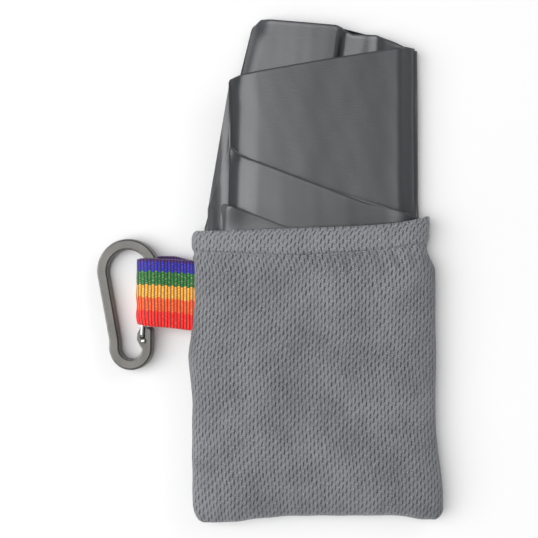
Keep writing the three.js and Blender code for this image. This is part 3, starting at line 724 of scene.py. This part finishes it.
def towel_groups():
    """The folded wraps from the bottom up, in mm. Each has its number of layers, the height of its upper face
    above the floor outside the pouch, its thickness, how close to its upper face the hidden layers lie, how
    much its left edge curls up, how far and how wide it rolls down to its left and right folds, those folds
    as (y, x) points, and its upper edge as (share across, y) points."""
    return [
        dict(layers=8, high=6.3, thick=5.9, under=0.28, curl=0.0,
             roll_left=(4.3, 7.5), roll_right=(2.4, 6.0),
             left=[(-83, -22.5), (15, -24.2), (27, -21.0), (72.8, -10.9), (95, -5.4)],
             right=[(-83, 56), (15, 56.4), (60, 56.2), (95, 55.8)],
             top=[(0, 92.6), (0.025, 94.4), (0.2, 93.3), (0.5, 91.6), (0.57, 90.0), (0.61, 88.7),
                  (0.75, 88.0), (0.86, 85.6), (0.94, 83.2), (1, 82.4)]),
        dict(layers=2, high=7.2, thick=0.7, under=0.6, curl=0.0,
             roll_left=(4.4, 7.0), roll_right=(3.0, 11.0),
             left=[(-83, -22), (15, -22.9), (26, -22.8), (31, -21)],
             right=[(-83, 54), (15, 54), (30, 54)],
             top=[(0, 25.6), (0.1, 30.0), (0.3, 30.0), (1, 24)]),
        dict(layers=8, high=10.6, thick=3.0, under=0.72, curl=0.7,
             roll_left=(0.8, 11.0), roll_right=(4.4, 7.0),
             left=[(-83, -21), (15, -15.2), (45, -14.8), (60, -14.3), (70, -15.0), (74, -15.5)],
             right=[(-83, 55.5), (15, 55.0), (60, 54.6), (84, 54.6)],
             top=[(0, 70.8), (0.03, 71.8), (0.07, 73.0), (0.5, 78.3), (0.95, 83.3), (1, 83.0)]),
        dict(layers=6, high=12.4, thick=1.6, under=0.6, curl=0.7,
             roll_left=(1.2, 11.0), roll_right=(4.6, 7.0),
             left=[(-83, -21.5), (15, -15.2), (40, -14.6), (47, -15.0)],
             right=[(-83, 56), (15, 56.8), (24, 57.0)],
             top=[(0, 45.6), (0.03, 43.6), (0.07, 41.8), (0.36, 34.1), (0.70, 24.9), (0.81, 23.3),
                  (0.93, 20.6), (1, 18.8)]),
        dict(layers=3, high=13.6, thick=0.9, under=0.5, curl=0.3,
             roll_left=(5.4, 7.8), roll_right=(4.8, 7.0),
             left=[(-83, -22.5), (10, -22.9), (26, -22.7)],
             right=[(-83, 56), (15, 56.2)],
             top=[(0, 24.6), (0.02, 25.7), (0.38, 15.2), (0.5, 11.5), (1, 4)]),
    ]


def towel_relief(number, x, y):
    """Small shape on the upper face of each wrap."""
    soft = 0.09 * wander(x, y * 0.2, 31 + number, 30) + 0.03 * wander(x, y * 0.3, 41 + number, 8)
    if number == 0:
        groove = 28.2 + (y - 91) * 0.2
        high_up = smoothstep(y, 60, 74)
        soft = soft + 1.9 * smoothstep(x, -14, groove - 2) * smoothstep(y, 40, 75)
        beyond = 1 - 0.5 * smoothstep(x, groove + 1.5, groove + 9)
        soft = soft - 3.4 * high_up * smoothstep(x, groove - 0.9, groove + 0.5) * beyond
        soft = soft + 0.6 * bump_shape(x, 40.4 + (y - 80) * 0.04, 1.7) * smoothstep(y, 50, 70)
        soft = soft - 0.3 * smoothstep(x, 41, 48) * smoothstep(y, 50, 70)
        soft = soft - 1.3 * bump_shape(x, -3.6, 3.2) * bump_shape(y, 94, 4.5)
    if number == 2:
        soft = soft - 0.9 * smoothstep(x, 0, 46) + 0.8 * bump_shape(x, -13.6, 2.4) * bump_shape(y, 72, 4.0)
    if number == 3:
        soft = soft - 0.7 * smoothstep(x, 0, 46) + 1.2 * bump_shape(x, -13.8, 2.6) * bump_shape(y, 44.5, 4.0)
        soft = soft + 0.7 * bump_shape(x, 50, 4.0) * bump_shape(y, 18, 6)
    if number == 4:
        soft = soft + 0.5 * bump_shape(x, -14, 4.0)
    return soft


def stack_place(g, number, level, x, y, left, right, top_gap, relief):
    """Height of a layer: outside the pouch it lies in its own wrap, inside it is pressed into the bag."""
    from_left, from_right = np.maximum(x - left, 0), np.maximum(right - x, 0)
    drop, wide = g["roll_left"]
    if g["curl"]:
        z = g["high"] - drop * (1 - smoothstep(from_left, 0.25 * wide, wide))
        z = z + g["curl"] * np.clip(1 - from_left / (0.38 * wide), 0, 1) ** 1.6
    else:
        z = g["high"] - drop * (1 - np.clip(from_left / wide, 0, 1)) ** 3.0
    z = z - g["roll_right"][0] * (1 - np.clip(from_right / g["roll_right"][1], 0, 1)) ** 2.1
    held = np.clip(from_left / 3, 0, 1) * np.clip(from_right / 3, 0, 1)
    z = z + relief * towel_relief(number, x, y) * (0.3 + 0.7 * held)
    z = z - 0.25 * np.clip(1 - top_gap / 0.9, 0, 1) ** 2
    z = z - (1 - level) * g["thick"] * (0.22 + 0.78 * held) * (0.5 + 0.5 * np.clip(top_gap / 1.5, 0, 1))
    packed = 1 - smoothstep(y, 12, 27)
    share = np.clip((x - POUCH_LEFT) / POUCH_WIDTH, 0.01, 0.99)
    fit = np.sqrt(1 - np.abs(2 * share - 1) ** 3) * (4.6 - 2.6 * smoothstep(-y, 55, 83))
    return z + (7.3 + (z - 6.9) * fit / 6.5 - z) * packed


def build_towel(p):
    """One sheet that zigzags through all the wraps, each layer a sweep from one fold to the other."""
    layer_width, fold_out, fold_up = 78.0, 0.22, 0.12
    finish = towel_material(p)
    up = 1 - (1 - np.linspace(0, 1, p.rows)) ** 1.7
    fine = np.linspace(0, 1, 86)
    fine = fine - 0.07 * np.sin(fine * math.tau)
    coarse = np.array([0, 0.015, 0.045, 0.1, 0.2, 0.5, 0.8, 0.9, 0.955, 0.985, 1.0])
    columns, cloth_place, gone, turn_back = [], [], 0.0, False
    for number, g in enumerate(towel_groups()):
        for layer in range(g["layers"]):
            outermost = layer == g["layers"] - 1
            shares = fine if outermost else coarse
            if turn_back:
                shares = shares[::-1]
            level = (layer + 0.5) / g["layers"] * (1.0 if outermost else g["under"])
            relief = 1.0 if outermost else 0.6 * level
            for share in shares:
                top = np.interp(share, *np.array(g["top"]).T)
                y = p.end + up * (top - p.end)
                left = np.interp(y, *np.array(g["left"]).T)
                right = np.interp(y, *np.array(g["right"]).T)
                corner = 1 - np.clip((top - y) / 3.0, 0, 1)
                left = left + 0.9 * corner ** 3
                x = left + share * (right - left)
                z = stack_place(g, number, level, x, y, left, right, top - y, relief)
                columns.append(np.stack([x, y, z], axis=-1))
                cloth_place.append(gone + (share if not turn_back else 1 - share) * layer_width)
            gone += layer_width
            last = columns[-1]
            bulge = -fold_out if turn_back else fold_out
            columns.append(last + np.array([bulge, 0, fold_up]))
            cloth_place.append(gone + 0.3)
            turn_back = not turn_back
    columns.pop()
    cloth_place.pop()
    points = np.stack(columns, axis=1)
    points[..., 2] = np.maximum(points[..., 2], 0.15)
    uv = np.stack([np.broadcast_to(np.array(cloth_place), points.shape[:2]), points[..., 1]], axis=-1)
    made = mesh_object("towel_folded_cloth", points.reshape(-1, 3), grid_faces(*points.shape[:2]), finish,
                       uv.reshape(-1, 2))
    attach(made, "towel")
    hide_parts("towel_cloth")


# ---------------------------------------------------------------- floor, light, camera

def soft_light(name, place, side, power):
    """A white rectangular light at a place in metres, turned to the middle of the floor."""
    lamp = bpy.data.lights.new(name, "AREA")
    lamp.shape = "RECTANGLE"
    lamp.size, lamp.size_y = side
    lamp.energy = power
    made = bpy.data.objects.new(name, lamp)
    made.location = place
    made.rotation_euler = (-Vector(place)).to_track_quat("-Z", "Y").to_euler()
    bpy.context.scene.collection.objects.link(made)


def build_stage(p):
    """Floor, lights, surround and camera, which looks straight down and takes in the width of the frame."""
    reach, steps, floor_height = 2500, 41, -0.05
    step = np.linspace(-reach, reach, steps)
    x, y = np.meshgrid(step, step)
    points = np.stack([x, y, 0 * x + floor_height], axis=-1).reshape(-1, 3)
    floor = mesh_object("floor", points, grid_faces(steps, steps), floor_material(p), points[:, :2])
    soft_light("broad_overhead_left", (-1.40, 0.00, 2.05), (2.2, 3.5), p.broad)
    soft_light("narrow_overhead_left", (-0.95, 0.05, 1.90), (0.35, 2.0), p.narrow)
    soft_light("glint_from_upper_right", (1.70, 1.40, 1.30), (1.8, 0.5), p.glint)
    world = bpy.data.worlds.new("Pale surround")
    world.use_nodes = True
    surround = world.node_tree.nodes["Background"]
    surround.inputs["Color"].default_value = (1, 1, 1, 1)
    surround.inputs["Strength"].default_value = p.sky
    bpy.context.scene.world = world
    eye = bpy.data.cameras.new("camera")
    eye.lens = p.lens
    eye.clip_start = 0.01
    camera = bpy.data.objects.new("camera", eye)
    face_height = 0.008
    camera.location = (0, 0, face_height + p.frame_side * MM * p.lens / eye.sensor_width)
    bpy.context.scene.collection.objects.link(camera)
    bpy.context.scene.camera = camera
    bpy.context.scene.view_settings.view_transform = "Standard"


# ---------------------------------------------------------------- the add-on

class TOWEL_OT_stage(bpy.types.Operator):
    """Floor, soft studio light and camera"""
    bl_idname = "towel.stage"
    bl_label = "Stage"
    bl_options = {"REGISTER", "UNDO"}

    def execute(self, context):
        build_stage(in_mm(context.scene.towel_stage))
        return {"FINISHED"}


class TOWEL_OT_panels(bpy.types.Operator):
    """Front and back panel of the knit mesh pouch"""
    bl_idname = "towel.panels"
    bl_label = "Pouch panels"
    bl_options = {"REGISTER", "UNDO"}

    def execute(self, context):
        build_panels(in_mm(context.scene.towel_pouch))
        return {"FINISHED"}


class TOWEL_OT_stitches(bpy.types.Operator):
    """Visible stitches of the front hem"""
    bl_idname = "towel.stitches"
    bl_label = "Hem stitches"
    bl_options = {"REGISTER", "UNDO"}

    def execute(self, context):
        build_stitches(in_mm(context.scene.towel_pouch))
        return {"FINISHED"}


class TOWEL_OT_threads(bpy.types.Operator):
    """Finish of the threads inside the hems and the seams"""
    bl_idname = "towel.threads"
    bl_label = "Seam threads"
    bl_options = {"REGISTER", "UNDO"}

    def execute(self, context):
        paint_threads(in_mm(context.scene.towel_pouch))
        return {"FINISHED"}


class TOWEL_OT_webbing(bpy.types.Operator):
    """Striped webbing loop in the left seam"""
    bl_idname = "towel.webbing"
    bl_label = "Webbing loop"
    bl_options = {"REGISTER", "UNDO"}

    def execute(self, context):
        build_webbing(in_mm(context.scene.towel_webbing))
        return {"FINISHED"}


class TOWEL_OT_metal(bpy.types.Operator):
    """Finish of the carabiner frame and its wire gate"""
    bl_idname = "towel.metal"
    bl_label = "Carabiner"
    bl_options = {"REGISTER", "UNDO"}

    def execute(self, context):
        build_metal(in_mm(context.scene.towel_carabiner))
        return {"FINISHED"}


class TOWEL_OT_towel(bpy.types.Operator):
    """The folded towel"""
    bl_idname = "towel.towel"
    bl_label = "Towel"
    bl_options = {"REGISTER", "UNDO"}

    def execute(self, context):
        build_towel(in_mm(context.scene.towel_cloth))
        return {"FINISHED"}


OPERATORS = (TOWEL_OT_stage, TOWEL_OT_panels, TOWEL_OT_stitches, TOWEL_OT_threads, TOWEL_OT_webbing,
             TOWEL_OT_metal, TOWEL_OT_towel)
GROUPS = {"towel_stage": TOWEL_PG_stage, "towel_pouch": TOWEL_PG_pouch, "towel_webbing": TOWEL_PG_webbing,
          "towel_carabiner": TOWEL_PG_carabiner, "towel_cloth": TOWEL_PG_towel}


class TOWEL_PT_panel(bpy.types.Panel):
    """Lists the pieces in the order in which they are built"""
    bl_idname = "TOWEL_PT_panel"
    bl_label = "Quick dry towel"
    bl_space_type = "VIEW_3D"
    bl_region_type = "UI"
    bl_category = "Towel"

    def draw(self, context):
        for operator in OPERATORS:
            self.layout.operator(operator.bl_idname)
        for name, group in GROUPS.items():
            box = self.layout.box()
            for prop in group.__annotations__:
                box.prop(getattr(context.scene, name), prop)


def register():
    """Adds the classes and the settings of each piece."""
    for kind in list(GROUPS.values()) + list(OPERATORS) + [TOWEL_PT_panel]:
        bpy.utils.register_class(kind)
    for name, kind in GROUPS.items():
        setattr(bpy.types.Scene, name, PointerProperty(type=kind))


def unregister():
    """Takes the settings and the classes away again."""
    for name in GROUPS:
        delattr(bpy.types.Scene, name)
    for kind in [TOWEL_PT_panel] + list(OPERATORS) + list(GROUPS.values()):
        bpy.utils.unregister_class(kind)


def main():
    """Builds every piece in order."""
    register()
    for operator in OPERATORS:
        area, name = operator.bl_idname.split(".")
        if getattr(getattr(bpy.ops, area), name)() != {"FINISHED"}:
            raise RuntimeError(f"{operator.bl_idname} did not finish")


if __name__ == "__main__":
    main()
